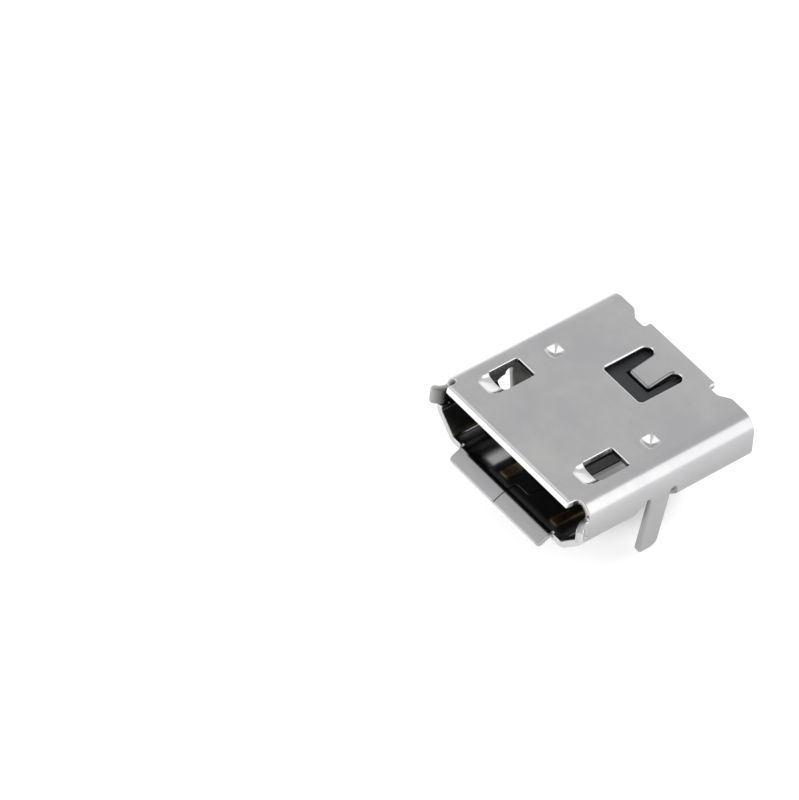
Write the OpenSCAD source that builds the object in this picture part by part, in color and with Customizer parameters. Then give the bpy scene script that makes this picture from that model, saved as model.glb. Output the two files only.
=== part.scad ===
// Micro USB socket with two contacts, for soldering through a circuit board.
// The mouth faces -Y, the board lies at z = 0 and the origin is midway between the feet.
// Lengths along the socket are measured from the upper edge of the mouth.

/* [Shell] */
// Outside width of the shell
shell_w = 7.4; // [7.2:0.05:7.8]
// Outside height of the shell above the board
shell_h = 2.35; // [2.3:0.05:2.6]
// Length of the shell from the mouth edge to the rear edge
shell_d = 7.1; // [7:0.05:7.5]
// Thickness of the sheet metal
sheet_t = 0.25; // [0.2:0.01:0.28]
// Outside radius of the two upper bends
top_bend_r = 0.6; // [0.5:0.05:0.7]
// Outside radius of the bends above and below each sloped strip
base_bend_r = 0.4; // [0.32:0.02:0.46]
// Distance across and up between the bends of each 45 degree sloped strip
slope = 0.6; // [0.5:0.01:0.68]

/* [Mouth brow] */
// Where the upper edge of the mouth starts to turn up
brow_start = 0.1; // [0.06:0.01:0.14]
// Radius of the brow's bend on its upper side
brow_bend_r = 0.4; // [0.3:0.05:0.6]
// Angle of the brow above the top
brow_turn = 16; // [8:1:24]
// Straight length of the brow after its bend
brow_run = 0.09; // [0.04:0.01:0.14]

/* [Mouth lip] */
// Width of the flared lip under the mouth
lip_w = 4.62; // [4:0.02:4.9]
// Where the lip starts to bend
lip_start = 0.1; // [0.05:0.01:0.2]
// Radius of the lip's bend on its lower side
lip_bend_r = 0.5; // [0.4:0.05:0.7]
// Angle of the lip below the seat
lip_turn = 28; // [15:1:40]
// Straight length of the lip after its bend
lip_run = 0.34; // [0.2:0.02:0.5]
// Width of the slits that free the lip's ends from the base
lip_slit = 0.06; // [0.03:0.01:0.1]
// Corner radius at the lip's front edge
lip_corner_r = 0.15; // [0.08:0.01:0.2]

/* [Mouth ears] */
// Where the ears start to bend out of the side walls
ear_start = 0.32; // [0.25:0.01:0.45]
// Radius of the ear's bend on its outer side
ear_bend_r = 0.3; // [0.25:0.05:0.5]
// Angle of the ear out of the side wall
ear_turn = 40; // [25:1:50]
// Straight length of the ear after its bend
ear_run = 0.3; // [0.2:0.02:0.4]
// Height of the ear from edge to edge
ear_h = 0.6; // [0.5:0.01:0.62]
// Distance from the ear's upper edge up to the start of the upper bend
ear_under = 0.01; // [0.01:0.01:0.06]
// Corner radius at the ear's tip
ear_corner_r = 0.16; // [0.08:0.01:0.2]
// Slit under the ear that frees it from the sloped strip
ear_slit = 0.03; // [0.02:0.01:0.04]
// Distance of the relief above the ear from the start of the upper bend
relief_in = 0.02; // [0.02:0.01:0.1]
// Distance from the mouth edge to the rear of the relief
relief_l = 0.365; // [0.34:0.005:0.45]
// Corner radius of the relief
relief_r = 0.2; // [0.12:0.01:0.22]

/* [Latch windows] */
// Distance between the centres of the two latch windows
latch_pitch = 4.86; // [4.7:0.02:5]
// Width of each latch window
latch_w = 0.92; // [0.8:0.02:1]
// Front edge of the latch windows
latch_front = 1.41; // [1.3:0.01:1.6]
// Length of each latch window
latch_l = 1.16; // [0.9:0.02:1.3]
// Length of the pad pressed down in front of each window
pad_l = 0.58; // [0.5:0.02:0.7]
// Length of the slope at the front of the pad
pad_slope = 0.39; // [0.3:0.01:0.45]
// Width of the slopes at the sides of the pad
pad_side = 0.34; // [0.2:0.01:0.38]
// Depth of the pad
pad_drop = 0.12; // [0.08:0.01:0.2]

/* [Locking tab] */
// Width of the tab between the arms of the slot
tab_w = 1.02; // [0.8:0.02:1.2]
// Width of each arm of the slot round the tab
tab_slot_w = 0.44; // [0.3:0.02:0.5]
// Front edge of the slot
tab_slot_front = 4.57; // [4.55:0.01:4.75]
// Length of the slot ahead of the tab
tab_slot_l = 0.67; // [0.5:0.01:0.7]
// Rear end of the slot's arms
tab_root = 6.38; // [6.2:0.02:6.5]
// Corner radius of the slot's front and of the tab's tip
tab_corner_r = 0.12; // [0.06:0.01:0.16]
// How far the tab's tip is bent down
tab_drop = 0.16; // [0.08:0.01:0.2]

/* [Dimples] */
// Distance between the two pressed dimples
dimple_pitch = 4.9; // [4.6:0.02:5.1]
// Position of the dimples
dimple_y = 3.78; // [3.4:0.02:4]
// Edge length of a dimple
dimple_w = 0.56; // [0.4:0.02:0.6]
// Depth of a dimple
dimple_drop = 0.17; // [0.1:0.01:0.2]

/* [Rear edge] */
// Width of the shell's tab over the rear of the insulator
rear_tab_w = 3.32; // [3:0.02:3.5]
// Width of each notch beside the rear tab
notch_w = 0.44; // [0.36:0.02:0.6]
// Depth of the notches
notch_l = 0.28; // [0.2:0.02:0.34]
// Width of the bevel on the outer side of each notch
notch_bevel = 0.4; // [0.2:0.02:0.5]
// Width of the opening at the rear of the base
base_cut_w = 3.76; // [3.6:0.02:4]
// Length of the opening at the rear of the base
base_cut_l = 0.7; // [0.6:0.02:0.8]
// Corner radius where the base opening meets the rear edge
base_cut_r = 0.34; // [0.2:0.02:0.4]

/* [Seam] */
// Width of the seam where the folded edges meet
seam_gap = 0.03; // [0.02:0.005:0.05]
// Distance of the seam's inner runs from the middle
seam_x = 0.03; // [0:0.01:0.1]
// How far each tooth reaches across
seam_reach = 0.6; // [0.4:0.02:0.7]
// Front edge of the first tooth
seam_first = 0.42; // [0.3:0.02:0.5]
// Length of one tooth
seam_pitch = 1.07; // [0.9:0.01:1.1]
// Corner radius of the teeth
seam_corner_r = 0.08; // [0.05:0.01:0.12]

/* [Feet] */
// Position of the feet, which is the origin of the part
foot_y = 3.32; // [3.2:0.02:3.4]
// Width of a foot
foot_w = 0.75; // [0.6:0.01:0.9]
// Reach of the feet below the seat
foot_drop = 1.72; // [1.2:0.02:1.9]
// Lean of the feet towards each other
foot_lean = 9; // [0:1:12]
// Radius of the foot's front corner
foot_front_r = 0.16; // [0.1:0.01:0.2]
// Radius of the foot's rear corner
foot_rear_r = 0.34; // [0.1:0.01:0.38]
// Width of the slits beside a foot's root
foot_slit_w = 0.3; // [0.2:0.01:0.32]
// Height of the slits' round ends
foot_slit_top = 1.21; // [1.16:0.01:1.3]

/* [Base windows] */
// Distance from the middle to the inner edge of a base window
window_x = 1.11; // [1:0.01:1.3]
// Front edge of the base windows
window_front = 2.32; // [2.2:0.02:2.36]
// Height up the side wall to which a base window reaches
window_top = 1.03; // [1.01:0.01:1.1]
// Corner radius of a base window on the side wall
window_r = 0.28; // [0.1:0.02:0.28]

/* [Insulator] */
// Clearance between the insulator and the shell
fit_gap = 0.02; // [0.01:0.005:0.04]
// Front face of the insulator's body
body_front = 4.42; // [4.2:0.02:4.5]
// Distance from the shell's rear edge to the faces of the wings
wing_recess = 0.3; // [0.2:0.02:0.4]
// Distance from the shell's rear edge to the rear face of the block
block_recess = 0.12; // [0.08:0.01:0.18]
// Width of the block at the rear
block_w = 4.2; // [4:0.02:4.4]
// Height of the block's heel above the board
heel_z = 0.08; // [0.04:0.01:0.15]
// Depth of the channel for the locking tab
channel_h = 0.44; // [0.4:0.01:0.5]
// Clearance round the locking tab
tab_gap = 0.05; // [0.03:0.01:0.08]
// Diameter of the round ejector marks on the wings
mark_d = 0.8; // [0.6:0.02:0.9]
// Depth of the ejector marks and of the rear panel
mark_deep = 0.04; // [0.02:0.01:0.06]
// Width of the shallow panel between the tails
panel_w = 1.84; // [1.6:0.02:1.9]
// Height of the panel's upper edge
panel_top = 0.77; // [0.6:0.01:0.9]

/* [Tongue] */
// Width of the tongue
tongue_w = 3.64; // [3.4:0.02:3.7]
// Thickness of the tongue
tongue_t = 0.5; // [0.44:0.01:0.54]
// Height of the tongue's lower face
tongue_z = 1.3; // [1.22:0.01:1.34]
// Front edge of the tongue
tongue_front = 0.75; // [0.6:0.01:1]
// Bevel round the tongue's front edge
tongue_bevel = 0.12; // [0.06:0.01:0.14]

/* [Contacts] */
// Distance between the two contacts, four steps of 0.65
contact_pitch = 2.6; // [2.5:0.02:2.7]
// Width of a contact strip
contact_w = 0.38; // [0.3:0.01:0.42]
// Thickness of a contact strip
contact_t = 0.25; // [0.2:0.01:0.26]
// How far the strips stand out of the tongue
contact_proud = 0.02; // [0:0.005:0.04]
// Distance from the tongue's front edge to the strips
contact_setback = 0.22; // [0.15:0.01:0.4]
// Clearance of a strip in the insulator
contact_gap = 0.01; // [0.005:0.005:0.02]
// Distance from the shell's rear edge to the back of the tails
tail_back = 0.31; // [0.28:0.01:0.4]
// Reach of the tails below the seat
tail_drop = 2.28; // [2:0.02:3]
// Inside radius of the bend at the root of a tail
tail_bend_r = 0.15; // [0.1:0.01:0.18]
// How far a tail runs back between its root and its crease
tail_lean = 0.12; // [0.05:0.01:0.2]
// Depth of the crease below the seat
tail_crease = 0.2; // [0.1:0.02:0.4]
// Bevel at the tip of a tail
tail_bevel = 0.08; // [0.04:0.01:0.1]
// Width of the pocket round the root of a tail
pocket_w = 0.72; // [0.6:0.02:0.76]
// Height of the pocket above the strip
pocket_over = 0.3; // [0.2:0.02:0.34]
// Depth of the pocket below the strip
pocket_under = 0.26; // [0.2:0.01:0.3]

/* [Hidden] */
$fn = 64;
over = 0.1;
slant = sqrt(0.5);
half_w = shell_w / 2;
shoulder_x = half_w - top_bend_r;
shoulder_z = shell_h - top_bend_r;
ceiling = shell_h - sheet_t;
hip_x = half_w - base_bend_r;
hip_z = base_bend_r + slope;
ear_top = shoulder_z - ear_under;
ear_low = ear_top - ear_h;
relief_x = shoulder_x - relief_in;
base_rear = shell_d - base_cut_l;
latch_x = latch_pitch / 2;
tab_front = tab_slot_front + tab_slot_l;
tab_slot_half = tab_w / 2 + tab_slot_w;
wing_rear = shell_d - wing_recess;
block_rear = shell_d - block_recess;
seam_lines = floor((base_rear - seam_first - seam_corner_r) / seam_pitch) + 1;
strip_z = tongue_z - contact_proud;
strip_front = tongue_front + contact_setback;
tail_outer_r = tail_bend_r + contact_t;
tail_rear = shell_d + tail_back;
bend_z = strip_z - tail_bend_r;
bend_y = tail_rear - tail_lean - tail_outer_r;

// Extrudes an outline drawn in X and Z along the socket
module along(from, to) {
    translate([0, to, 0]) rotate([90, 0, 0]) linear_extrude(to - from) children();
}

// Extrudes an outline drawn in Y and Z across the socket
module across(width) {
    rotate([90, 0, 90]) linear_extrude(width, center = true) children();
}

// Draws its children on both sides of the middle plane
module both_sides() {
    children();
    mirror([1, 0, 0]) children();
}

// Section of the shell, taken in by a distance from its outer face
module section(inset) {
    low_r = base_bend_r - inset;
    top_r = top_bend_r - inset;
    foot_x = hip_x - slope;
    polygon([
        [-foot_x, inset],
        [foot_x, inset],
        [foot_x, base_bend_r],
        [hip_x, hip_z],
        [half_w - inset, hip_z],
        [half_w - inset, shoulder_z],
        [shoulder_x, shoulder_z],
        [shoulder_x, shell_h - inset],
        [-shoulder_x, shell_h - inset],
        [-shoulder_x, shoulder_z],
        [inset - half_w, shoulder_z],
        [inset - half_w, hip_z],
        [-hip_x, hip_z],
        [-foot_x, base_bend_r]
    ]);
    for (side = [-1, 1]) {
        translate([side * foot_x, base_bend_r]) circle(low_r);
        translate([side * hip_x, hip_z]) circle(low_r);
        translate([side * shoulder_x, shoulder_z]) circle(top_r);
        translate([side * (foot_x + hip_x) / 2, (base_bend_r + hip_z) / 2]) rotate(side * 45)
            square([slope / slant, 2 * low_r], center = true);
    }
}

// Strip of sheet bent from straight through an angle, then straight again
module bent_strip(bend_r, turn, run) {
    outer = bend_r + sheet_t;
    intersection() {
        difference() {
            circle(outer);
            circle(bend_r);
        }
        translate([-outer, 0]) square(outer);
        rotate(turn) square(2 * outer);
    }
    translate([0, bend_r]) square([over, sheet_t]);
    rotate(turn) translate([-run, bend_r]) square([run, sheet_t]);
}

// Square with its two corners at the low end rounded
module tongue_outline(width, length, r) {
    translate([-width / 2, r]) square([width, length - r]);
    translate([r - width / 2, 0]) square([width - 2 * r, length]);
    for (side = [-1, 1]) translate([side * (width / 2 - r), r]) circle(r);
}

// Waste between a corner and the round that replaces it, corner at the origin
module corner_waste(r) {
    difference() {
        translate([-over, -r]) square([r + over, r + over]);
        translate([r, -r]) circle(r);
    }
}

// Upper edge of the mouth, turned up
module brow() {
    translate([0, 0, shell_h]) mirror([0, 0, 1]) across(2 * relief_x)
        translate([brow_start, -brow_bend_r]) bent_strip(brow_bend_r, brow_turn, brow_run);
}

// Flared lip under the mouth
module lip() {
    front = lip_start - (lip_bend_r + sheet_t) * sin(lip_turn) - lip_run * cos(lip_turn);
    intersection() {
        across(lip_w) translate([lip_start, -lip_bend_r]) bent_strip(lip_bend_r, lip_turn, lip_run);
        translate([0, front, -shell_h]) linear_extrude(2 * shell_h)
            tongue_outline(lip_w, lip_start + over - front, lip_corner_r);
    }
}

// Flared ear on the right side wall
module ear() {
    tip = ear_start - (ear_bend_r + sheet_t) * sin(ear_turn) - ear_run * cos(ear_turn);
    intersection() {
        translate([half_w + ear_bend_r, ear_start, ear_low]) rotate(90)
            linear_extrude(ear_h) bent_strip(ear_bend_r, ear_turn, ear_run);
        translate([half_w, tip, ear_low + ear_h / 2]) rotate([0, 90, 0])
            linear_extrude(2 * shell_w, center = true)
                tongue_outline(ear_h, ear_start + over - tip, ear_corner_r);
    }
}

// Pad with sloped front and sides, pressed down in front of a latch window
module pad(top) {
    front = latch_front - pad_l;
    half = latch_w / 2;
    floor_z = top - pad_drop;
    intersection() {
        across(latch_w) polygon([
            [front, top],
            [front + pad_slope, floor_z],
            [latch_front, floor_z],
            [latch_front, top]
        ]);
        along(front, latch_front) polygon([
            [-half, top],
            [pad_side - half, floor_z],
            [half - pad_side, floor_z],
            [half, top]
        ]);
    }
}

// Pyramid pressed into the upper face
module dimple(top) {
    half = dimple_w / 2;
    intersection() {
        across(dimple_w) polygon([[-half, top], [half, top], [0, top - dimple_drop]]);
        along(-half, half) polygon([[-half, top], [half, top], [0, top - dimple_drop]]);
    }
}

// Tab cut free on three sides and bent down to hold the insulator
module locking_tab() {
    root = tab_root + over;
    intersection() {
        across(tab_w) polygon([
            [tab_front, shell_h - tab_drop],
            [tab_front, ceiling - tab_drop],
            [tab_root, ceiling],
            [root, ceiling],
            [root, shell_h],
            [tab_root, shell_h]
        ]);
        translate([0, tab_front, 0]) linear_extrude(2 * shell_h)
            tongue_outline(tab_w, root - tab_front, tab_corner_r);
    }
}

// Slot round the locking tab with round ends, seen from above
module tab_slot() {
    arm_r = tab_slot_w / 2;
    translate([0, tab_slot_front])
        tongue_outline(2 * tab_slot_half, tab_root - arm_r - tab_slot_front, tab_corner_r);
    for (side = [-1, 1]) translate([side * (tab_w / 2 + arm_r), tab_root - arm_r]) circle(arm_r);
}

// Notch beside the rear tab, seen from above
module rear_notch() {
    inner = rear_tab_w / 2;
    outer = inner + notch_w;
    floor_y = shell_d - notch_l;
    polygon([
        [inner, floor_y],
        [outer, floor_y],
        [outer + notch_bevel, shell_d],
        [outer + notch_bevel, shell_d + over],
        [inner, shell_d + over]
    ]);
}

// Right half of the opening at the rear of the base, seen from above
module base_cut() {
    translate([-over, base_rear]) square([base_cut_w / 2 + over, base_cut_l + over]);
    translate([base_cut_w / 2, shell_d]) corner_waste(base_cut_r);
}

// Place of a seam run across the base and of a crossing along it
function run_x(i) = seam_x + (i % 2) * seam_reach;
function line_y(i) = seam_first + i * seam_pitch;

// Quarter of the seam's line round a corner
module seam_corner(side, end) {
    intersection() {
        difference() {
            circle(seam_corner_r + seam_gap / 2);
            circle(seam_corner_r - seam_gap / 2);
        }
        translate([side, end] * seam_corner_r) square(2 * seam_corner_r, center = true);
    }
}

// Line of the seam between the interlocking teeth, seen from above
module seam() {
    r = seam_corner_r;
    for (i = [0:seam_lines]) {
        from = i == 0 ? -shell_h : line_y(i - 1) + r;
        to = i == seam_lines ? base_rear + over : line_y(i) - r;
        translate([run_x(i) - seam_gap / 2, from]) square([seam_gap, to - from]);
    }
    for (i = [0:seam_lines - 1]) {
        step = sign(run_x(i + 1) - run_x(i));
        translate([seam_x + r, line_y(i) - seam_gap / 2]) square([seam_reach - 2 * r, seam_gap]);
        translate([run_x(i) + step * r, line_y(i) - r]) seam_corner(-step, 1);
        translate([run_x(i + 1) - step * r, line_y(i) + r]) seam_corner(step, -1);
    }
}

// Foot left straight in the plane of the right side wall
module foot() {
    front = foot_y - foot_w / 2;
    rear = foot_y + foot_w / 2;
    shift = tan(foot_lean) * (window_top + foot_drop);
    intersection() {
        along(front, rear) polygon([
            [half_w, foot_slit_top],
            [half_w, window_top],
            [half_w - shift, -foot_drop],
            [half_w - shift - sheet_t, -foot_drop],
            [half_w - sheet_t, window_top],
            [half_w - sheet_t, foot_slit_top]
        ]);
        across(2 * shell_w) {
            polygon([
                [front, foot_slit_top],
                [front, foot_front_r - foot_drop],
                [front + foot_front_r, -foot_drop],
                [rear - foot_rear_r, -foot_drop],
                [rear, foot_rear_r - foot_drop],
                [rear, foot_slit_top]
            ]);
            translate([front + foot_front_r, foot_front_r - foot_drop]) circle(foot_front_r);
            translate([rear - foot_rear_r, foot_rear_r - foot_drop]) circle(foot_rear_r);
        }
    }
}

// Side outline of a base window in Y and Z, ending at the slit behind the foot
module window_outline() {
    length = foot_y + foot_w / 2 + foot_slit_w - window_front;
    translate([window_front, -over]) square([length, window_top + over - window_r]);
    translate([window_front + window_r, -over]) square([length - window_r, window_top + over]);
    translate([window_front + window_r, window_top - window_r]) circle(window_r);
}

// Base window, and the slits that free the foot from the right side wall
module foot_window() {
    translate([window_x + half_w, 0, 0]) across(shell_w) window_outline();
    slit_r = foot_slit_w / 2;
    for (side = [-1, 1])
        translate([half_w, 0, 0]) across(4 * sheet_t)
            translate([foot_y + side * (foot_w + foot_slit_w) / 2, 0]) {
                translate([-slit_r, 0]) square([foot_slit_w, foot_slit_top - slit_r]);
                translate([0, foot_slit_top - slit_r]) circle(slit_r);
            }
}

// Relief between the brow and the right ear, seen from above
module relief_outline() {
    translate([relief_x, -over]) square([shell_w, relief_l + over - relief_r]);
    translate([relief_x + relief_r, -over]) square([shell_w, relief_l + over]);
    translate([relief_x + relief_r, relief_l - relief_r]) circle(relief_r);
}

// Front edge of the right side wall, cut back for the ear and for the relief above it
module ear_cut() {
    translate([half_w - sheet_t - over, -over, ear_low - ear_slit])
        cube([sheet_t + 2 * over, ear_start + over, ear_h + ear_slit + over]);
    translate([0, 0, ear_top]) linear_extrude(top_bend_r + 2 * over) relief_outline();
}

// Folded sheet with the mouth, windows, feet and seam
module folded_sheet() {
    difference() {
        along(0, shell_d) difference() {
            section(0);
            section(sheet_t);
        }
        translate([-lip_w / 2 - lip_slit, -over, -over])
            cube([lip_w + 2 * lip_slit, lip_start + over, sheet_t + 2 * over]);
        translate([-half_w, -over, ceiling - over])
            cube([shell_w, brow_start + over, sheet_t + 2 * over]);
        both_sides() {
            ear_cut();
            foot_window();
            translate([latch_x - latch_w / 2, latch_front, ceiling - over])
                cube([latch_w, latch_l, sheet_t + 2 * over]);
        }
        translate([0, 0, ceiling - over]) linear_extrude(sheet_t + 2 * over) tab_slot();
        both_sides() {
            translate([0, 0, ceiling - over]) linear_extrude(sheet_t + 2 * over) rear_notch();
            translate([0, 0, -over]) linear_extrude(sheet_t + 2 * over) base_cut();
        }
    }
    brow();
    lip();
    locking_tab();
    both_sides() {
        ear();
        foot();
        translate([latch_x, 0, 0]) pad(ceiling);
        translate([dimple_pitch / 2, dimple_y, 0]) dimple(ceiling);
    }
}

// One-piece shell, stamped and folded from sheet
module shell() {
    color([0.78, 0.78, 0.77]) translate([0, -foot_y, 0]) difference() {
        folded_sheet();
        both_sides() {
            translate([latch_x, 0, 0]) pad(shell_h);
            translate([dimple_pitch / 2, dimple_y, 0]) dimple(shell_h);
        }
        translate([0, 0, -shell_h]) linear_extrude(shell_h + sheet_t + over) seam();
    }
}

// Side outline of one contact in Y and Z, widened by a clearance
module contact_outline(gap) {
    inner = tail_bend_r - gap;
    outer = tail_outer_r + gap;
    rear = tail_rear + gap;
    front = tail_rear - contact_t - gap;
    tip = -tail_drop - gap;
    translate([strip_front - gap, bend_z + inner]) square([bend_y - strip_front + gap, outer - inner]);
    translate([bend_y, bend_z]) intersection() {
        difference() {
            circle(outer);
            circle(inner);
        }
        square(outer);
    }
    polygon([
        [bend_y + inner, bend_z],
        [front, -tail_crease],
        [front, tip + tail_bevel],
        [front + tail_bevel, tip],
        [rear - tail_bevel, tip],
        [rear, tip + tail_bevel],
        [rear, -tail_crease],
        [bend_y + outer, bend_z]
    ]);
}

// Contact strip at a place across the socket
module contact(x) {
    color([0.9, 0.88, 0.82]) translate([x, -foot_y, 0]) across(contact_w) contact_outline(0);
}

module left_contact() {
    contact(-contact_pitch / 2);
}

module right_contact() {
    contact(contact_pitch / 2);
}

// Tongue with its front edge bevelled above and below, in Y and Z
module tongue_side() {
    top = tongue_z + tongue_t;
    polygon([
        [tongue_front, tongue_z + tongue_bevel],
        [tongue_front + tongue_bevel, tongue_z],
        [body_front + over, tongue_z],
        [body_front + over, top],
        [tongue_front + tongue_bevel, top],
        [tongue_front, top - tongue_bevel]
    ]);
}

// Moulding before its channels and marks
module moulding_blank() {
    low = sheet_t + fit_gap;
    top = ceiling - fit_gap;
    heel_half = base_cut_w / 2 - fit_gap;
    heel_front = base_rear + fit_gap;
    along(body_front, wing_rear) section(low);
    block_front = wing_rear - over;
    translate([-block_w / 2, block_front, low]) cube([block_w, block_rear - block_front, top - low]);
    translate([-heel_half, heel_front, heel_z])
        cube([2 * heel_half, block_rear - heel_front, low + over - heel_z]);
    across(tongue_w) tongue_side();
}

// Round ejector mark and the pocket round a tail, on the right side
module rear_cuts() {
    mark_x = (block_w / 2 + half_w - sheet_t) / 2;
    mark_z = (hip_z + shell_h) / 2 - sheet_t - over;
    pocket_z = strip_z - pocket_under;
    translate([mark_x, wing_rear - mark_deep, mark_z]) rotate([-90, 0, 0]) cylinder(d = mark_d, h = over);
    translate([(contact_pitch - pocket_w) / 2, bend_y - contact_t, pocket_z])
        cube([pocket_w, shell_d, pocket_under + contact_t + pocket_over]);
    translate([contact_pitch / 2, 0, 0]) across(contact_w + 2 * contact_gap) contact_outline(contact_gap);
}

// One-piece moulding of body, block and tongue
module insulator() {
    channel_w = tab_w + 2 * tab_gap;
    color([0.13, 0.13, 0.14]) translate([0, -foot_y, 0]) difference() {
        moulding_blank();
        translate([-channel_w / 2, tab_front - tab_gap, ceiling - channel_h])
            cube([channel_w, shell_d, channel_h + over]);
        translate([-panel_w / 2, block_rear - mark_deep, heel_z + mark_deep])
            cube([panel_w, over, panel_top - heel_z - mark_deep]);
        both_sides() rear_cuts();
    }
}

shell();
insulator();
left_contact();
right_contact();
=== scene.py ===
import math

import bpy
import numpy as np
from mathutils import Matrix, Vector
from mathutils.geometry import delaunay_2d_cdt


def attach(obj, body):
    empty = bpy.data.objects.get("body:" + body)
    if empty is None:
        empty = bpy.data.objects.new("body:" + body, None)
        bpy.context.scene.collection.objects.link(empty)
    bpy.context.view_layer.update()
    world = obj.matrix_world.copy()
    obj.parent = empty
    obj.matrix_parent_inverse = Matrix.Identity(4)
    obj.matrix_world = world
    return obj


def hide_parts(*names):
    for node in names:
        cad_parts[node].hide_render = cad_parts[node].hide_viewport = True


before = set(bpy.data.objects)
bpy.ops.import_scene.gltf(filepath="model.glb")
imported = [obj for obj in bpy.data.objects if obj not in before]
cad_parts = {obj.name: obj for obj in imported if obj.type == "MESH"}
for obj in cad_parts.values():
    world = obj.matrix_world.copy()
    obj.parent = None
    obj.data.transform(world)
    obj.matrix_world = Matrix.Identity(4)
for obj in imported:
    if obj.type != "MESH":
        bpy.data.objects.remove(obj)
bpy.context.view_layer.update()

mm = 0.001
scene = bpy.context.scene
print("frame loaded:", ", ".join(sorted(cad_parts)))


def metres(span):
    return [length * mm for length in span]


def put(name, data):
    made = bpy.data.objects.new(name, data)
    scene.collection.objects.link(made)
    return made


noiseMiddle = 0.5
mixNumbers = {"share": 0, "low": 6, "high": 7, "colour": 2}  # a Mix node's own sockets for colours


# shader graphs: sums are written as sums, every other node comes from node()
class Wire:
    def __init__(self, graph, socket):
        self.graph = graph
        self.socket = socket

    def maths(self, operation, first, second):
        return self.graph.node("ShaderNodeMath", {"operation": operation}, {0: first, 1: second})

    def __add__(self, other):
        return self.maths("ADD", self, other)

    def __radd__(self, other):
        return self.maths("ADD", other, self)

    def __sub__(self, other):
        return self.maths("SUBTRACT", self, other)

    def __rsub__(self, other):
        return self.maths("SUBTRACT", other, self)

    def __mul__(self, other):
        return self.maths("MULTIPLY", self, other)

    def __rmul__(self, other):
        return self.maths("MULTIPLY", other, self)

    def step(self, low, high):  # 0 below low, 1 above high, smooth between
        ends = {"Value": self, "From Min": low, "From Max": high}
        return self.graph.node("ShaderNodeMapRange", {"interpolation_type": "SMOOTHSTEP"}, ends)

    def swing(self, size):  # a noise as a change up or down
        return (self - noiseMiddle) * size


class Graph:
    def __init__(self, tree):
        self.tree = tree
        tree.nodes.clear()

    def node(self, kind, settings=None, sockets=None, out=0):
        made = self.tree.nodes.new(kind)
        for key, value in (settings or {}).items():
            setattr(made, key, value)
        for key, value in (sockets or {}).items():
            socket = made.inputs[key]
            if isinstance(value, Wire):
                self.tree.links.new(value.socket, socket)
            else:
                socket.default_value = value
        return Wire(self, made.outputs[out]) if len(made.outputs) else None

    def mix(self, share, low, high):  # colours only
        full = lambda colour: colour if isinstance(colour, Wire) else (*colour, 1)
        sockets = {mixNumbers["share"]: share, mixNumbers["low"]: full(low), mixNumbers["high"]: full(high)}
        return self.node("ShaderNodeMix", {"data_type": "RGBA"}, sockets, out=mixNumbers["colour"])

    def stretch(self, vector, scale):
        return self.node("ShaderNodeVectorMath", {"operation": "MULTIPLY"}, {0: vector, 1: scale})

    def noise(self, vector, scale, detail=2.0, rough=0.5):
        sockets = {"Vector": vector, "Scale": scale, "Detail": detail, "Roughness": rough}
        return self.node("ShaderNodeTexNoise", {"noise_dimensions": "3D"}, sockets)

    def bump(self, height, strength, depth):
        sockets = {"Height": height, "Strength": strength, "Distance": depth * mm}
        return self.node("ShaderNodeBump", None, sockets)

    def place(self):
        return self.node("ShaderNodeTexCoord", None, None, out="Object")

    def along(self, vector, axis):
        return self.node("ShaderNodeSeparateXYZ", None, {0: vector}, out=axis)

    def attribute(self, name):
        return self.node("ShaderNodeAttribute", {"attribute_name": name}, None, out="Fac")


def material(name, sockets, paint):
    made = bpy.data.materials.new(name)
    made.use_nodes = True
    graph = Graph(made.node_tree)
    shader = graph.node("ShaderNodeBsdfPrincipled", None, dict(sockets, **paint(graph)))
    graph.node("ShaderNodeOutputMaterial", None, {"Surface": shader})
    return made


# satin nickel, painted by what the sheet says of each point, with painted shade on the inner faces and low on
# the walls, and painted highlights on the upper edge of the mouth and on the pressed pads and dimples
nickel = {
    "colour": (0.425, 0.425, 0.435), "warm": (0.48, 0.475, 0.47), "patches": (0.35, 0.7),
    "edge": (0.56, 0.56, 0.56), "edgeShare": 0.8, "inner": (0.11, 0.11, 0.108), "pressHighlight": (0.6, 0.6, 0.6),
    "lowWallShade": (0.31, 0.31, 0.312), "lowWallShadeShare": 0.8, "lowWallShadeHeight": (0.7, 2.3), "lowWallShadeFront": (-3.4, -3.0),
    "browHighlight": (0.76, 0.76, 0.76), "browHighlightShare": 0.55, "browHighlightPatches": 0.7,
    "rough": 0.24, "edgeRough": 0.2, "browHighlightRough": 0.42, "sleek": 0.12,
    "grainRough": 0.07, "cloudRough": 0.06, "speckRough": 0.04,
    "cloud": {"scale": 420.0, "detail": 4.0, "rough": 0.65}, "speck": {"scale": 26000.0},
    "grain": {"scale": 780.0, "detail": 3.0}, "grainRun": (14.0, 1.0, 14.0),
    "grainRelief": 0.6, "speckRelief": 0.4, "bump": 0.05, "bumpDepth": 0.004,
}


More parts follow.
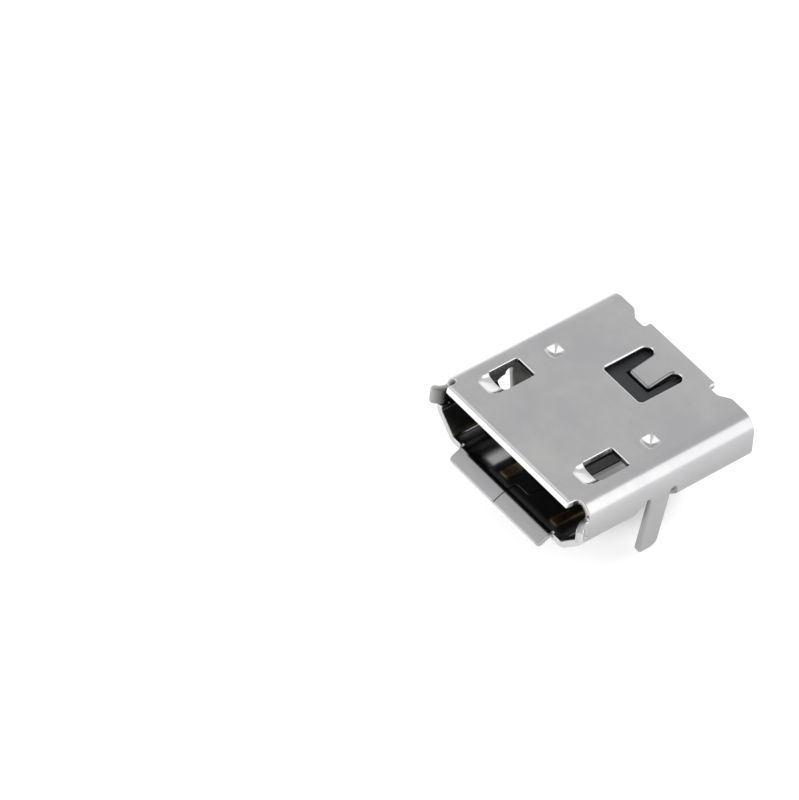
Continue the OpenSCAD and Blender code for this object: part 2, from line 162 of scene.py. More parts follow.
def paintNickel(g):
    n, spot = nickel, g.place()
    cloud = g.noise(spot, **n["cloud"])  # faint patches in the plating
    grain = g.noise(g.stretch(spot, n["grainRun"]), **n["grain"])  # rolling grain along the sheet
    speck = g.noise(spot, **n["speck"])
    cut, hidden, browHighlight = [g.attribute(name) for name in ("cutEdge", "hidden", "bareEdge")]
    colour = g.mix(cloud.step(*n["patches"]), n["colour"], n["warm"])
    colour = g.mix(g.attribute("pressed"), colour, n["pressHighlight"])  # painted highlight on the pressed pads and dimples
    colour = g.mix(cut * n["edgeShare"], colour, n["edge"])
    low = 1.0 - g.along(spot, "Z").step(*metres(n["lowWallShadeHeight"]))
    lowWallShade = low * g.along(spot, "Y").step(*metres(n["lowWallShadeFront"])) * n["lowWallShadeShare"]
    colour = g.mix(lowWallShade, colour, n["lowWallShade"])  # painted shade low on the walls, behind the front
    # painted shade on the inner faces, deeper further inside the shell
    colour = g.mix(hidden, colour, n["inner"])
    # painted highlight on the cut face of the upper edge of the mouth, mottled by the patches
    colour = g.mix(browHighlight * (n["browHighlightShare"] + cloud * n["browHighlightPatches"]), colour, n["browHighlight"])
    rough = n["rough"] + grain.swing(n["grainRough"]) + cloud.swing(n["cloudRough"])
    rough = rough + speck.swing(n["speckRough"]) - g.attribute("sleek") * n["sleek"]
    rough = rough - cut * (n["rough"] - n["edgeRough"]) + browHighlight * (n["browHighlightRough"] - n["edgeRough"])
    relief = grain * n["grainRelief"] + speck * n["speckRelief"]
    return {"Base Color": colour, "Roughness": rough, "Normal": g.bump(relief, n["bump"], n["bumpDepth"])}


# dark moulding with a fine sparked surface
plastic = {
    "colour": (0.020, 0.021, 0.023), "pale": (0.032, 0.033, 0.036), "patches": (0.3, 0.75), "gloss": 0.36,
    "cloud": {"scale": 900.0, "detail": 3.0}, "pits": {"scale": 21000.0, "detail": 3.0, "rough": 0.6},
    "rough": 0.5, "pitRough": 0.22, "bump": 0.35, "bumpDepth": 0.008,
}


def paintPlastic(g):
    p, spot = plastic, g.place()
    pits = g.noise(spot, **p["pits"])
    colour = g.mix(g.noise(spot, **p["cloud"]).step(*p["patches"]), p["colour"], p["pale"])
    rough = p["rough"] + pits.swing(p["pitRough"])
    return {"Base Color": colour, "Roughness": rough, "Normal": g.bump(pits, p["bump"], p["bumpDepth"])}


# tin on the tails, gold along the tongue
plating = {
    "tin": (0.72, 0.72, 0.705), "tinDull": (0.61, 0.605, 0.585), "patches": (0.3, 0.75),
    "gold": (0.56, 0.45, 0.25), "goldEnd": (1.25, 1.4), "goldWander": 0.4,
    "cloud": {"scale": 1500.0, "detail": 3.0}, "drag": {"scale": 2600.0}, "dragRun": (6.0, 6.0, 1.0),
    "rough": 0.3, "dragRough": 0.16, "cloudRough": 0.1, "bump": 0.1, "bumpDepth": 0.004,
}


def paintPlating(g):
    p, spot = plating, g.place()
    cloud = g.noise(spot, **p["cloud"])
    drag = g.noise(g.stretch(spot, p["dragRun"]), **p["drag"])  # draw lines down the tails
    tin = g.mix(cloud.step(*p["patches"]), p["tin"], p["tinDull"])
    along = g.along(spot, "Y") + cloud.swing(p["goldWander"] * mm)
    colour = g.mix(along.step(*metres(p["goldEnd"])), p["gold"], tin)
    rough = p["rough"] + drag.swing(p["dragRough"]) + cloud.swing(p["cloudRough"])
    return {"Base Color": colour, "Roughness": rough, "Normal": g.bump(drag, p["bump"], p["bumpDepth"])}


nickelPlate = material("nickelPlate", {"Metallic": 1.0}, paintNickel)
darkPlastic = material("darkPlastic", {"Specular IOR Level": plastic["gloss"]}, paintPlastic)
tinAndGold = material("tinAndGold", {"Metallic": 1.0}, paintPlating)
print("materials made:", len(bpy.data.materials))


# outlines are lists of points in the flat, and a corner is rounded where it is sharp and has room
drawing = {
    "apart": 1e-4, "share": 0.45, "room": 0.9, "blunt": 0.87,  # which points and corners count
    "mitre": 0.35, "merge": 1e-7, "nudge": 4e-4,  # for the plates
}


def mirror(loop):
    return [(-s, v) for s, v in loop]


def arc(x, y, radius, start, end, steps=8):
    turns = np.radians(np.linspace(start, end, steps + 1))
    return [(x + radius * math.cos(t), y + radius * math.sin(t)) for t in turns]


def apart(loop):  # leaves out points that repeat the one before
    loop = [np.array(p, float) for p in loop]
    return [p for i, p in enumerate(loop) if np.linalg.norm(p - loop[i - 1]) > drawing["apart"]]


def spread(loop, gap):  # no stretch of a closed outline longer than gap
    out = []
    for a, b in zip(loop, loop[1:] + loop[:1]):
        a, b = np.array(a), np.array(b)
        count = max(1, math.ceil(np.linalg.norm(b - a) / gap))
        out += [a + (b - a) * i / count for i in range(count)]
    return np.array(apart(out))


def rounded(loop, radius, steps=4):
    loop, out = apart(loop), []
    for i, corner in enumerate(loop):
        before, after = loop[i - 1] - corner, loop[(i + 1) % len(loop)] - corner
        runs = np.linalg.norm(before), np.linalg.norm(after)
        reach = min(radius, drawing["share"] * min(runs))
        isBlunt = -before @ after > drawing["blunt"] * runs[0] * runs[1]
        if isBlunt or reach < drawing["room"] * radius:
            out.append(tuple(corner))
            continue
        a = corner + before / runs[0] * reach
        b = corner + after / runs[1] * reach
        for t in np.linspace(0, 1, steps + 1):
            out.append(tuple(a * (1 - t) ** 2 + corner * 2 * t * (1 - t) + b * t * t))
    return out


def inside(points, loops):  # even-odd test against all outlines
    x, y = points.T
    hit = np.zeros(len(points), bool)
    for loop in loops:
        for a, b in zip(loop, np.roll(loop, -1, 0)):
            crosses = (a[1] > y) != (b[1] > y)
            if crosses.any():
                hit ^= crosses & (x < a[0] + (y - a[1]) / (b[1] - a[1]) * (b[0] - a[0]))
    return hit


def clearOf(points, loops, gap):  # which points lie further than gap from the outlines
    corners = np.concatenate(loops)
    return np.array([np.linalg.norm(corners - p, axis=1).min() for p in points]) > gap


def rimOf(loop, isOuter, rimAt):  # an outline turned the right way, its way in, its direction out, its rim
    ahead = np.roll(loop, -1, 0)
    area = (loop[:, 0] * ahead[:, 1] - loop[:, 1] * ahead[:, 0]).sum()
    if (area > 0) != isOuter:
        loop = loop[::-1]
    ahead = np.roll(loop, -1, 0) - loop
    ahead /= np.linalg.norm(ahead, axis=1)[:, None]
    out = np.stack([ahead[:, 1], -ahead[:, 0]], 1)
    back = np.roll(out, 1, 0)
    mitre = (out + back) / np.maximum(1 + (out * back).sum(1), drawing["mitre"])[:, None]
    rim = rimAt(loop)
    return loop, mitre * rim[:, None], mitre / np.linalg.norm(mitre, axis=1)[:, None], rim


def filled(rims, fill, gap):  # triangles between the outlines, up to their rims
    loops = [rim[0] for rim in rims]
    inner = [loop - inward for loop, inward, unit, rim in rims]
    flat, edges = [], []
    for loop in inner:
        first, count = len(flat), len(loop)
        flat += list(loop)
        edges += [(first + k, first + (k + 1) % count) for k in range(count)]
    fill = fill[inside(fill, loops)]
    flat += list(fill[clearOf(fill, loops, gap)])
    made = delaunay_2d_cdt([Vector(p) for p in flat], edges, [], 0, drawing["merge"])
    spots, tris = np.array([tuple(p) for p in made[0]]), np.array(made[2], int)
    found = {old: new for new, olds in enumerate(made[3]) for old in olds}
    return spots, tris[inside(spots[tris].mean(1), inner)], found


# makes a closed plate of even thickness with rounded rims from outlines in the flat, then folds it
def plate(name, loops, fill, thick, rimAt, fold, zoneOf, shadeOf, gap=0.05, steps=4):
    rims = [rimOf(loop, i == 0, rimAt) for i, loop in enumerate(loops)]
    spots, tris, found = filled(rims, fill, gap)
    count = len(spots)
    still = np.zeros(count)
    home = [np.column_stack([spots, still + level]) for level in (0, thick)]
    facing = [np.column_stack([still, still, still + way]) for way in (-1, 1)]
    cut = [np.zeros(2 * count)]
    faces = tris.tolist() + (count + tris[:, ::-1]).tolist()
    total, first = 2 * count, 0
    turns = np.radians(np.linspace(0, 90, steps + 1))[1:]
    profile = [(t, 0, 1) for t in turns] + [(t, thick, -1) for t in turns[::-1]]
    for loop, inward, unit, rim in rims:
        n = len(loop)
        rows = [np.array([found[first + k] for k in range(n)])]
        for t, level, way in profile:
            rise = level + way * rim * (1 - math.cos(t))
            home.append(np.column_stack([loop - inward * (1 - math.sin(t)), rise]))
            facing.append(np.column_stack([unit * math.sin(t), np.full(n, -way * math.cos(t))]))
            cut.append(np.full(n, math.sin(t)))
            rows.append(total + np.arange(n))
            total += n
        rows.append(rows[0] + count)
        for upper, lower in zip(rows, rows[1:]):
            faces += np.stack([upper, lower, np.roll(lower, -1), np.roll(upper, -1)], 1).tolist()
        first += n
    home, facing, cut = np.concatenate(home), np.concatenate(facing), np.concatenate(cut)
    zone = zoneOf(home[:, 0], home[:, 1])
    nudge, sides = drawing["nudge"], []
    for shift in np.eye(3) * nudge:
        sides.append((fold(home + shift, zone) - fold(home - shift, zone)) / (2 * nudge))
    normals = np.einsum("nji,nj->ni", np.linalg.inv(np.stack(sides, 2)), facing)
    normals /= np.linalg.norm(normals, axis=1)[:, None]
    mesh = bpy.data.meshes.new(name)
    mesh.from_pydata((fold(home, zone) * mm).tolist(), [], faces)
    mesh.polygons.foreach_set("use_smooth", np.ones(len(mesh.polygons), bool))
    for label, values in {"cutEdge": cut, **shadeOf(home, zone, cut)}.items():
        mesh.attributes.new(label, "FLOAT", "POINT").data.foreach_set("value", values)
    mesh.normals_split_custom_set_from_vertices(normals.tolist())
    piece = put(name, mesh)
    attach(piece, "root")
    return piece


# the folded sheet, in millimetres from the upper edge of the mouth
sheet = {
    "width": 7.4, "height": 2.35, "depth": 7.1, "thick": 0.25, "topBend": 0.6, "baseBend": 0.4, "slope": 0.6,
    "feet": 3.32, "corner": 0.08, "rim": 0.045, "holeRim": 0.06, "slotRim": 0.1, "seamRim": 0.012,
    "gap": 0.075, "slack": 0.012,
}
lip = {"width": 4.62, "start": 0.1, "bend": 0.5, "turn": 28, "run": 0.34, "slit": 0.06, "corner": 0.15}
brow = {"start": 0.1, "bend": 0.4, "turn": 16, "run": 0.09, "overlap": 0.2}
ear = {
    "start": 0.32, "bend": 0.3, "turn": 40, "run": 0.3, "low": 1.13, "high": 1.78,
    "corner": 0.16, "slit": 0.03,
}
relief = {"x": 3.12, "reach": 0.365, "corner": 0.2}
latch = {"inner": 1.97, "outer": 2.89, "front": 1.41, "rear": 2.57, "corner": 0.07}
press = {"drop": 0.16, "front": 0.83, "behind": 0.2, "bow": 0.7, "round": 2.6, "square": 4.5}
dimple = {"x": 2.45, "y": 3.78, "half": 0.285, "drop": 0.215, "square": 5, "ease": 0.16}
tab = {
    "width": 1.02, "slot": 0.44, "slotFront": 4.57, "front": 5.24, "root": 6.38, "corner": 0.12,
    "drop": 0.16, "ease": 0.3, "cornerSteps": 5, "endSteps": 12,
}
rear = {
    "tab": 1.66, "notch": 0.44, "notchDepth": 0.28, "bevel": 0.4,
    "baseHalf": 1.88, "baseCut": 0.7, "baseCorner": 0.34,
}
seam = {
    "gap": 0.03, "x": 0.03, "reach": 0.6, "first": 0.42, "pitch": 1.07, "lines": 6, "start": -1.2,
    "corner": 0.08, "steps": 5, "half": 0.7, "crispFrom": -0.5, "crispTo": 6.35,
}
foot = {
    "width": 0.75, "drop": 1.72, "lean": 9, "leanRun": 0.2, "root": 1.03, "front": 0.16, "frontSteps": 6,
    "rear": 0.34, "rearSteps": 8, "slit": 0.3, "slitTop": 1.235, "slitSteps": 20,
}
window = {"x": 1.11, "front": 2.32, "corner": 0.26, "steps": 14, "margin": 0.1}
zones = {"flat": 0, "lip": 1, "ear": 2, "foot": 3, "tab": 4, "brow": 5}

half = sheet["width"] / 2
shoulder = (half - sheet["topBend"], sheet["height"] - sheet["topBend"])
hip = (half - sheet["baseBend"], sheet["baseBend"] + sheet["slope"])
heel = (hip[0] - sheet["slope"], sheet["baseBend"])
eighth = math.pi / 4
marks = np.cumsum([  # where each stretch of the section ends, from the middle of the top
    shoulder[0], sheet["topBend"] * 2 * eighth, shoulder[1] - hip[1],
    sheet["baseBend"] * eighth, sheet["slope"] * math.sqrt(2), sheet["baseBend"] * eighth])


def onWall(z):
    return marks[1] + shoulder[1] - z


def onBase(x):
    return marks[5] + heel[0] - x


def section(s):  # outer face and its direction at a distance along the section
    a, side = np.abs(s), np.where(s < 0, -1.0, 1.0)
    big, small, slant = sheet["topBend"], sheet["baseBend"], math.sqrt(0.5)
    t1, t2, t3 = (a - marks[0]) / big, (a - marks[2]) / small, eighth + (a - marks[4]) / small
    flat, down = np.zeros_like(a), slant * (a - marks[3])
    which = [a <= mark for mark in marks]
    nx = np.select(which, [flat, np.sin(t1), flat + 1, np.cos(t2), flat + slant, np.cos(t3)], flat)
    nz = np.select(which, [flat + 1, np.cos(t1), flat, -np.sin(t2), flat - slant, -np.sin(t3)], flat - 1)
    xs = [a, shoulder[0] + big * nx, flat + half]
    xs += [hip[0] + small * nx, hip[0] + small * nx - down, heel[0] + small * nx]
    zs = [flat + sheet["height"], shoulder[1] + big * nz, shoulder[1] + marks[1] - a]
    zs += [hip[1] + small * nz, hip[1] + small * nz - down, heel[1] + small * nz]
    return np.select(which, xs, heel[0] + marks[5] - a), np.select(which, zs, flat), nx, nz, side


def fade(value, start, run, soft=0.2):  # from 0 to 1 over the run, with rounded ends
    t = np.clip((value - start) / run, -soft, 1 + soft)
    low, high = (t + soft) ** 2 / (4 * soft), 1 - (1 + soft - t) ** 2 / (4 * soft)
    return np.where(t < soft, low, np.where(t > 1 - soft, high, t))


def eased(t, soft):  # starts gently, then runs straight
    return np.where(t < soft, t ** 2 / (2 * soft), t - soft / 2)


def pressed(x, y):  # depth of the dished pads ahead of the latch windows and of the dimples
    x = np.abs(x)
    ahead = np.clip((latch["front"] - y) / (latch["front"] - press["front"]), 0, 2)
    across = np.abs(2 * x - latch["inner"] - latch["outer"]) / (latch["outer"] - latch["inner"])
    reach = (ahead ** press["round"] + across ** press["square"]) ** (1 / press["round"])
    deep = np.clip(1 - reach, 0, 1)
    pad = np.where(y < latch["front"] + press["behind"], (1 + press["bow"] * (1 - deep)) * deep, 0)
    power = dimple["square"]
    reach = (np.abs(x - dimple["x"]) ** power + np.abs(y - dimple["y"]) ** power) ** (1 / power)
    point = eased(np.clip(1 + dimple["ease"] / 2 - reach / dimple["half"], 0, 1), dimple["ease"])
    return press["drop"] * pad + dimple["drop"] * point


def zoneOfSheet(s, v):  # which bent end of the sheet a point belongs to
    a, slack = np.abs(s), sheet["slack"]
    zone = np.zeros(len(s), int)
    zone[(v < lip["start"]) & (a > onBase(lip["width"] / 2) - slack)] = zones["lip"]
    onEar = (a > onWall(ear["high"]) - slack) & (a < onWall(ear["low"]) + slack)
    zone[onEar & (v < ear["start"])] = zones["ear"]
    onFoot = np.abs(v - sheet["feet"]) < foot["width"] / 2 + slack
    zone[onFoot & (a > onWall(foot["root"])) & (a < onBase(window["x"]) - window["margin"])] = zones["foot"]
    onTab = (a < tab["width"] / 2 + slack) & (v > tab["front"] - slack)
    zone[onTab & (v < tab["root"])] = zones["tab"]
    zone[(v < brow["start"]) & (a < marks[0] + brow["overlap"])] = zones["brow"]
    return zone


def tipOf(end):  # where a bent end stops on the flat blank
    return end["start"] - (end["bend"] + sheet["thick"] / 2) * math.radians(end["turn"]) - end["run"]


def curl(end, v, w):  # how far a bent end is forward at v and out of its plane
    ahead, radius = end["start"] - v, end["bend"] + w
    middle, full = end["bend"] + sheet["thick"] / 2, math.radians(end["turn"])
    turn = np.minimum(ahead / middle, full)
    rest = np.maximum(ahead - middle * full, 0)
    forward = end["start"] - radius * np.sin(turn) - rest * np.cos(turn)
    return forward, end["bend"] - radius * np.cos(turn) + rest * np.sin(turn)


def foldSheet(home, zone):
    s, v, w = home.T
    a = np.abs(s)
    x, z, nx, nz, side = section(s)
    px, py, pz = side * (x - w * nx), v, z - w * nz
    pz = np.where((zone == zones["flat"]) & (a < marks[0]), pz - pressed(px, v), pz)
    isLip = zone == zones["lip"]
    forward, out = curl(lip, v, w)
    py, pz = np.where(isLip, forward, py), np.where(isLip, -out, pz)
    isEar = zone == zones["ear"]
    forward, out = curl(ear, v, w)
    px, py = np.where(isEar, side * (half + out), px), np.where(isEar, forward, py)
    pz = np.where(isEar, shoulder[1] + marks[1] - a, pz)
    isBrow = zone == zones["brow"]  # the upper edge of the mouth turns up a little
    forward, out = curl(brow, v, w)
    py, pz = np.where(isBrow, forward, py), np.where(isBrow, z + out, pz)
    isFoot = zone == zones["foot"]  # straight on from the walls with a slight lean
    down, lean = a - onWall(foot["root"]), math.radians(foot["lean"])
    turn = np.minimum(down / foot["leanRun"], 1) * lean
    rest, radius = np.maximum(down - foot["leanRun"], 0), foot["leanRun"] / lean
    inward = radius * (1 - np.cos(turn)) + rest * np.sin(turn)
    fall = radius * np.sin(turn) + rest * np.cos(turn)
    px = np.where(isFoot, side * (half - inward - w * np.cos(turn)), px)
    pz = np.where(isFoot, foot["root"] - fall + w * np.sin(turn), pz)
    share = np.clip((tab["root"] - v) / (tab["root"] - tab["front"]), 0, 1)
    drop = tab["drop"] * eased(share, tab["ease"]) / eased(1, tab["ease"])
    pz = np.where(zone == zones["tab"], pz - drop, pz)
    return np.column_stack([px, py - sheet["feet"], pz])


def seamLine():  # middle of the seam from the lip to the rear, x and y
    r, path = seam["corner"], [(seam["x"], seam["start"])]
    for i in range(seam["lines"]):
        y = seam["first"] + i * seam["pitch"]
        here = seam["x"] + (i % 2) * seam["reach"]
        there = seam["x"] + ((i + 1) % 2) * seam["reach"]
        step = 1 if there > here else -1
        path += arc(here + step * r, y - r, r, 90 + 90 * step, 90, seam["steps"])
        path += arc(there - step * r, y + r, r, -90, -90 + 90 * step, seam["steps"])
    path.append((seam["x"], sheet["depth"]))
    return np.array(path)


def seamEdge(side):  # edge of one base flap along the seam
    path = seamLine()
    ahead = np.gradient(path, axis=0)
    ahead /= np.linalg.norm(ahead, axis=1)[:, None]
    return path + side * seam["gap"] / 2 * np.stack([ahead[:, 1], -ahead[:, 0]], 1)


def frontHalf():  # front edge from the middle of the top to the lip's corner, right side
    top, tip, front = tipOf(brow), tipOf(ear), tipOf(lip)
    side = marks[0] + sheet["topBend"] * math.asin((relief["x"] - marks[0]) / sheet["topBend"])
    r = relief["corner"]
    path = [(0, top), (side, top)] + arc(side + r, relief["reach"] - r, r, 180, 90)
    upper, lower, r = onWall(ear["high"]), onWall(ear["low"]), ear["corner"]
    path.append((upper, relief["reach"]))
    path += arc(upper + r, tip + r, r, 180, 270) + arc(lower - r, tip + r, r, 270, 360)
    slit = lower + ear["slit"]
    path += [(lower, ear["start"]), (slit, ear["start"]), (slit, 0)]
    edge, slit, r = onBase(lip["width"] / 2), onBase(lip["width"] / 2 + lip["slit"]), lip["corner"]
    path += [(slit, 0), (slit, lip["start"]), (edge, lip["start"])]
    return path + arc(edge + r, front + r, r, 180, 270)


def rearHalf():  # rear edge from the seam to the middle of the top, right side
    d, r = sheet["depth"], rear["baseCorner"]
    path = [(onBase(rear["baseHalf"]), d - rear["baseCut"])]
    path += [(onBase(x), y) for x, y in arc(rear["baseHalf"] + r, d - r, r, 180, 90)]
    notch, edge = d - rear["notchDepth"], rear["tab"] + rear["notch"]
    return path + [(edge + rear["bevel"], d), (edge, notch), (rear["tab"], notch), (rear["tab"], d)]


def blank():
    front, cut = tipOf(lip), sheet["depth"] - rear["baseCut"]
    rightEdge = [(onBase(x), min(max(y, front), cut)) for x, y in seamEdge(1)]
    leftEdge = [(-onBase(-x), min(max(y, front), cut)) for x, y in seamEdge(-1)]
    loop = mirror(frontHalf())[::-1] + frontHalf()[1:] + rightEdge + rearHalf()
    return loop + mirror(rearHalf())[::-1] + leftEdge[::-1]


def latchWindow():
    box = [(latch["inner"], latch["front"]), (latch["outer"], latch["front"]),
           (latch["outer"], latch["rear"]), (latch["inner"], latch["rear"])]
    return rounded(box, latch["corner"])


def tabSlot():
    w, r, c, steps = tab["width"] / 2, tab["slot"] / 2, tab["corner"], tab["cornerSteps"]
    wide, end = w + 2 * r, tab["root"] - r
    low, high = tab["slotFront"] + c, tab["front"] + c
    path = arc(-wide + c, low, c, 180, 270, steps) + arc(wide - c, low, c, 270, 360, steps)
    path += arc(w + r, end, r, 0, 180, tab["endSteps"])
    path += arc(w - c, high, c, 0, -90, steps) + arc(c - w, high, c, -90, -180, steps)
    return path + arc(-w - r, end, r, 0, 180, tab["endSteps"])


def footWindow():  # base window with the foot standing in it, right side
    top, r = onWall(foot["root"]), foot["slit"] / 2
    near, far = sheet["feet"] - foot["width"] / 2, sheet["feet"] + foot["width"] / 2
    slit, inner = onWall(foot["slitTop"]) + r, onBase(window["x"])
    tip = top + (foot["root"] + foot["drop"]) / math.cos(math.radians(foot["lean"]))
    f, b, c = foot["front"], foot["rear"], window["corner"]
    path = arc(top + c, window["front"] + c, c, 270, 180, window["steps"]) + [(top, near - 2 * r)]
    path += arc(slit, near - r, r, 270, 90, foot["slitSteps"])
    path += arc(tip - f, near + f, f, -90, 0, foot["frontSteps"])
    path += arc(tip - b, far - b, b, 0, 90, foot["rearSteps"])
    path += arc(slit, far + r, r, 270, 90, foot["slitSteps"])
    return path + [(inner, far + 2 * r), (inner, window["front"])]


# points inside the blank that let the bends turn smoothly
coarse = {"counts": [14, 18, 5, 8, 5, 8, 14], "past": 0.7, "front": -0.5, "row": 0.19, "margin": 0.02}
past = {"pad": 0.16, "dimple": dimple["half"] + 0.05, "ear": 0.05}
finer = {  # from, to and how many across the sheet, then the same along it
    "pads": (latch["inner"] - past["pad"], latch["outer"] + past["pad"], 28, 0.72, 1.4, 20),
    "dimples": (dimple["x"] - past["dimple"], dimple["x"] + past["dimple"], 15,
                dimple["y"] - past["dimple"], dimple["y"] + past["dimple"], 15),
    "ears": (onWall(ear["high"]) - past["ear"], onWall(ear["low"]) + past["ear"], 9, -0.45, 0.6, 22),
    "feet": (onWall(1.3), onBase(1.3), 44, 2.6, 4.0, 12),
    "tab": (-0.56, 0.56, 15, tab["front"] - 0.02, tab["root"] + 0.1, 17),
    "lip": (onBase(2.4), onBase(0), 22, -0.6, 0.2, 18),
    "brow": (-3.05, 3.05, 50, -0.12, 0.14, 7),
}


def grid(across, along):
    return np.array([(s, v) for s in across for v in along])


def patch(name, side=1):
    left, right, across, front, back, along = finer[name]
    return grid(side * np.linspace(left, right, across), np.linspace(front, back, along))


def sheetFill():
    ends = [0, *marks, onBase(-coarse["past"])]
    stretches = zip(ends, ends[1:], coarse["counts"])
    lines = np.concatenate([np.linspace(a, b, count, endpoint=False) for a, b, count in stretches])
    lines = np.concatenate([-lines[:0:-1], lines])
    fill = grid(lines, np.arange(coarse["front"], sheet["depth"], coarse["row"]))
    patches = [patch(name, side) for side in (-1, 1) for name in ("pads", "dimples", "ears", "feet")]
    patches += [patch("tab"), patch("lip", -1), patch("lip", 1), patch("brow")]
    for points in patches:
        low, high = points.min(0) - coarse["margin"], points.max(0) + coarse["margin"]
        fill = fill[~((fill > low) & (fill < high)).all(1)]
    return np.concatenate([fill, *patches])


def sheetRim(loop):  # the two flaps meet with crisp edges, the holes in the top have rounder ones
    s, v = np.abs(loop[:, 0]), loop[:, 1]
    rim = sheet["rim"]
    if s.max() < marks[0]:
        rim = sheet["holeRim"]
    if s.max() < latch["inner"]:
        rim = sheet["slotRim"]
    atSeam = (s > onBase(seam["half"])) & (v > seam["crispFrom"]) & (v < seam["crispTo"])
    return np.where(atSeam, sheet["seamRim"], rim)


# how the painted shade darkens the inner faces, each pair a start and the run from there
dusk = {
    "face": (0.3, 0.5), "topCut": (0.2, 0.15), "seamCut": (0, 0.05), "seamHalf": 0.75, "isCut": 0.3,
    "rim": 0.75, "isRim": 0.05, "windowFrom": 1, "inside": (0.05, 0.3), "flap": (0.8, 1.5),
    "flapCut": (0.1, 0.3), "foot": (onWall(0.35), 0.7), "lip": (-0.45, 0.5), "lipShare": 0.25, "lipCut": 0.45,
    "ear": (-0.26, 0.32), "earTip": 0.2, "earRoot": 0.75, "pressHighlight": (0, 0.05), "outer": 0.05,
}


def shadeOfSheet(home, zone, cut):  # painted shade on the inner faces, a painted highlight on the cut face of the upper edge of the mouth and on the pressed pads
    s, v, w = np.abs(home[:, 0]), home[:, 1], home[:, 2]
    on = {name: zone == number for name, number in zones.items()}
    onFlap, onTop = s > marks[4], s < marks[0]
    isCut, isRim = cut > dusk["isCut"], cut > dusk["isRim"]
    through = w / sheet["thick"]
    side = np.where(onTop & isCut, fade(through, *dusk["topCut"]), fade(through, *dusk["face"]))
    sleek = side * onFlap
    side = np.where(onFlap & isCut & (s > onBase(dusk["seamHalf"])), fade(w, *dusk["seamCut"]), side)
    side = np.where(on["tab"] & isRim, dusk["rim"], side)
    atWindow = onFlap & (np.abs(s - onBase(window["x"])) < window["margin"]) & (v > dusk["windowFrom"])
    side = np.where(atWindow & isRim, np.maximum(side, dusk["rim"]), side)
    depth = np.where(onFlap, fade(v, *dusk["flap"]), fade(v, *dusk["inside"]))
    depth = np.where(onFlap & isCut, fade(v, *dusk["flapCut"]), depth)
    depth = np.where(on["foot"], 1 - fade(s, *dusk["foot"]), depth)
    depth = np.where(on["lip"], dusk["lipShare"] * fade(v, *dusk["lip"]), depth)
    depth = np.where(on["ear"], dusk["earTip"] + dusk["earRoot"] * fade(v, *dusk["ear"]), depth)
    hidden = np.where(on["lip"], np.maximum(side * depth, dusk["lipCut"] * cut), side * depth)
    # painted highlight on the outer face of the pressed pads and dimples
    pressHighlightMask = onTop * on["flat"] * (w < dusk["outer"]) * fade(pressed(s, v), *dusk["pressHighlight"])
    return {"hidden": hidden, "sleek": sleek, "bareEdge": cut ** 2 * on["brow"], "pressed": pressHighlightMask}


holes = [latchWindow(), mirror(latchWindow()), tabSlot(), footWindow(), mirror(footWindow())]
loops = [spread(rounded(loop, sheet["corner"]), sheet["gap"]) for loop in [blank(), *holes]]
foldedShell = plate(
    "foldedShell", loops, sheetFill(), sheet["thick"], sheetRim, foldSheet, zoneOfSheet, shadeOfSheet)
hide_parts("shell")
foldedShell.data.materials.append(nickelPlate)
print("shell:", len(foldedShell.data.polygons), "faces")


# contacts, bent from strip, drawn from the side
contact = {
    "x": 1.3, "width": 0.38, "thick": 0.25, "z": 1.28, "front": 0.97, "back": 7.41, "bend": 0.15,
    "lean": 0.12, "crease": 0.2, "drop": 2.28, "bevel": 0.08, "rim": 0.05,
    "innerSteps": 10, "outerSteps": 14, "gap": 0.08, "clear": 0.04,
}


def contactSide():
    c = contact
    outer, low = c["bend"] + c["thick"], c["z"] - c["bend"]
    bendY, face, tip = c["back"] - c["lean"] - outer, c["back"] - c["thick"], -c["drop"]
    path = [(c["front"], c["z"]), (bendY, c["z"])] + arc(bendY, low, c["bend"], 90, 0, c["innerSteps"])
    path += [(face, -c["crease"]), (face, tip + c["bevel"]), (face + c["bevel"], tip)]
    path += [(c["back"] - c["bevel"], tip), (c["back"], tip + c["bevel"]), (c["back"], -c["crease"])]
    path += arc(bendY, low, outer, 0, 90, c["outerSteps"]) + [(c["front"], c["z"] + c["thick"])]
    return spread(path, c["gap"])


contactRim = lambda loop: np.full(len(loop), contact["rim"])
noFill = np.zeros((0, 2))
noZone = lambda s, v: np.zeros(len(s), int)
noShade = lambda home, zone, cut: {}
for name, side in (("left_contact", -1), ("right_contact", 1)):
    face = side * contact["x"] + contact["width"] / 2
    stand = lambda home, zone: np.column_stack([face - home[:, 2], home[:, 0] - sheet["feet"], home[:, 1]])
    strip = plate(name.replace("_contact", "Strip"), [contactSide()], noFill, contact["width"],
                  contactRim, stand, noZone, noShade, gap=contact["clear"])
    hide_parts(name)
    strip.data.materials.append(tinAndGold)
print("contacts made")


# the moulding keeps its solid, with softened edges
moulding = {"edge": 0.03, "steps": 2, "flat": 2, "sharp": 35}
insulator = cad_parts["insulator"]
insulator.data.materials.clear()
insulator.data.materials.append(darkPlastic)
merge = insulator.modifiers.new("mergeFlats", "DECIMATE")
merge.decimate_type, merge.angle_limit = "DISSOLVE", math.radians(moulding["flat"])
soften = insulator.modifiers.new("softEdges", "BEVEL")
soften.width, soften.segments = moulding["edge"] * mm, moulding["steps"]
soften.limit_method, soften.angle_limit = "ANGLE", math.radians(moulding["sharp"])
soften.harden_normals = True
print("moulding finished")


# floor, light and camera
stageSet = {
    "floor": -2.28, "size": 400, "colour": (0.84, 0.84, 0.84), "pale": (0.86, 0.86, 0.86), "cloud": 60.0,
    "rough": 0.9, "glow": 0.42, "glowFar": 0.62, "glowRun": (8, 45),
    "shade": (-0.3, 1.2), "shadeRun": (0.5, 3.0), "shadeColour": (0.42, 0.42, 0.42),
}
edge, level = stageSet["size"] * mm, stageSet["floor"] * mm
corners = [(-edge, -edge, level), (edge, -edge, level), (edge, edge, level), (-edge, edge, level)]
floorMesh = bpy.data.meshes.new("floor")
floorMesh.from_pydata(corners, [], [(0, 1, 2, 3)])
floor = put("floor", floorMesh)


def grey(value):
    return (value,) * 3


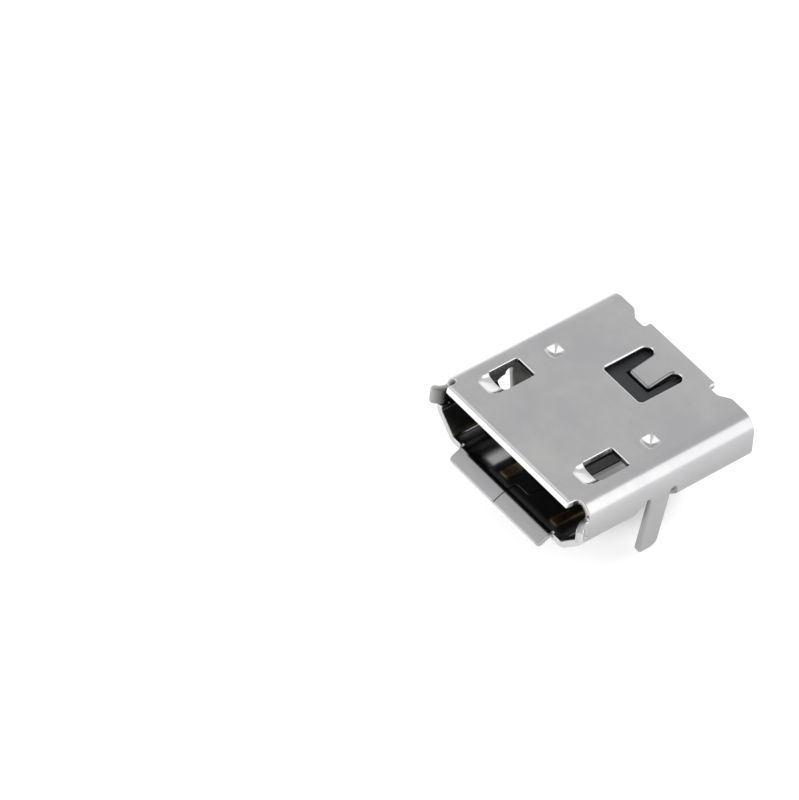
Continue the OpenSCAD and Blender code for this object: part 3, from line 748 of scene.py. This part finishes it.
def paintFloor(g):
    t, spot = stageSet, g.place()
    away = g.node("ShaderNodeVectorMath", {"operation": "LENGTH"}, {0: spot}, out="Value")
    glow = g.mix(away.step(*metres(t["glowRun"])), grey(t["glow"]), grey(t["glowFar"]))  # glow painted into the floor, as if lit from below, brighter further out
    middle = (*metres(t["shade"]), level)
    under = g.node("ShaderNodeVectorMath", {"operation": "DISTANCE"}, {0: spot, 1: middle}, out="Value")
    clear = under.step(*metres(t["shadeRun"]))
    glow = g.mix(clear, grey(0), glow)  # painted shadow of the part, taking the glow away
    colour = g.mix(g.noise(spot, t["cloud"]), t["colour"], t["pale"])
    # the painted shadow also darkens the floor's colour
    return {"Base Color": g.mix(clear, t["shadeColour"], colour), "Emission Color": glow}


paleFloor = material("paleFloor", {"Roughness": stageSet["rough"], "Emission Strength": 1.0}, paintFloor)
floor.data.materials.append(paleFloor)

sky = {"low": 0.97, "high": 0.91, "from": 0.3, "to": 0.7}
world = bpy.data.worlds.new("studio")
world.use_nodes = True
scene.world = world
g = Graph(world.node_tree)
up = g.along(g.node("ShaderNodeTexCoord", None, None, out="Generated"), "Z")
shade = g.mix(up.step(sky["from"], sky["to"]), grey(sky["low"]), grey(sky["high"]))
g.node("ShaderNodeOutputWorld", None, {"Surface": g.node("ShaderNodeBackground", None, {"Color": shade})})

panels = [  # turn is measured round from the mouth, light is the brightness of its face
    {"name": "sidePanel", "turn": 122, "rise": 26, "away": 120, "wide": 110, "tall": 128, "light": 1.25},
    {"name": "backPanel", "turn": 213, "rise": 16, "away": 120, "wide": 84, "tall": 66, "light": 0.62},
    {"name": "frontPanel", "turn": -38, "rise": 27, "away": 120, "wide": 70, "tall": 72, "light": 1.3},
]
for panel in panels:
    lamp = bpy.data.lights.new(panel["name"], "AREA")
    lamp.shape, lamp.size, lamp.size_y = "RECTANGLE", panel["wide"] * mm, panel["tall"] * mm
    lamp.energy = panel["light"] * math.pi * lamp.size * lamp.size_y
    turn, rise = math.radians(panel["turn"]), math.radians(panel["rise"])
    out = Vector((math.sin(turn) * math.cos(rise), -math.cos(turn) * math.cos(rise), math.sin(rise)))
    holder = put(panel["name"], lamp)
    holder.location = out * panel["away"] * mm
    holder.rotation_mode = "QUATERNION"
    holder.rotation_quaternion = (-out).to_track_quat("-Z", "Y")

viewer = {
    "place": (109.427, -99.25, 153.955), "right": (0.605358, 0.794792, 0.042993),
    "up": (-0.589572, 0.411452, 0.695063), "lens": 298.48, "sensor": 36, "clip": (0.005, 5),
}
lens = bpy.data.cameras.new("viewer")
lens.sensor_width, lens.lens = viewer["sensor"], viewer["lens"]
lens.clip_start, lens.clip_end = viewer["clip"]
camera = put("viewer", lens)
right, top = Vector(viewer["right"]), Vector(viewer["up"])
turnTo = Matrix((right, top, right.cross(top))).transposed().to_4x4()
camera.matrix_world = Matrix.Translation(Vector(viewer["place"]) * mm) @ turnTo
scene.camera = camera
scene.view_settings.view_transform = "Standard"
print("stage set")
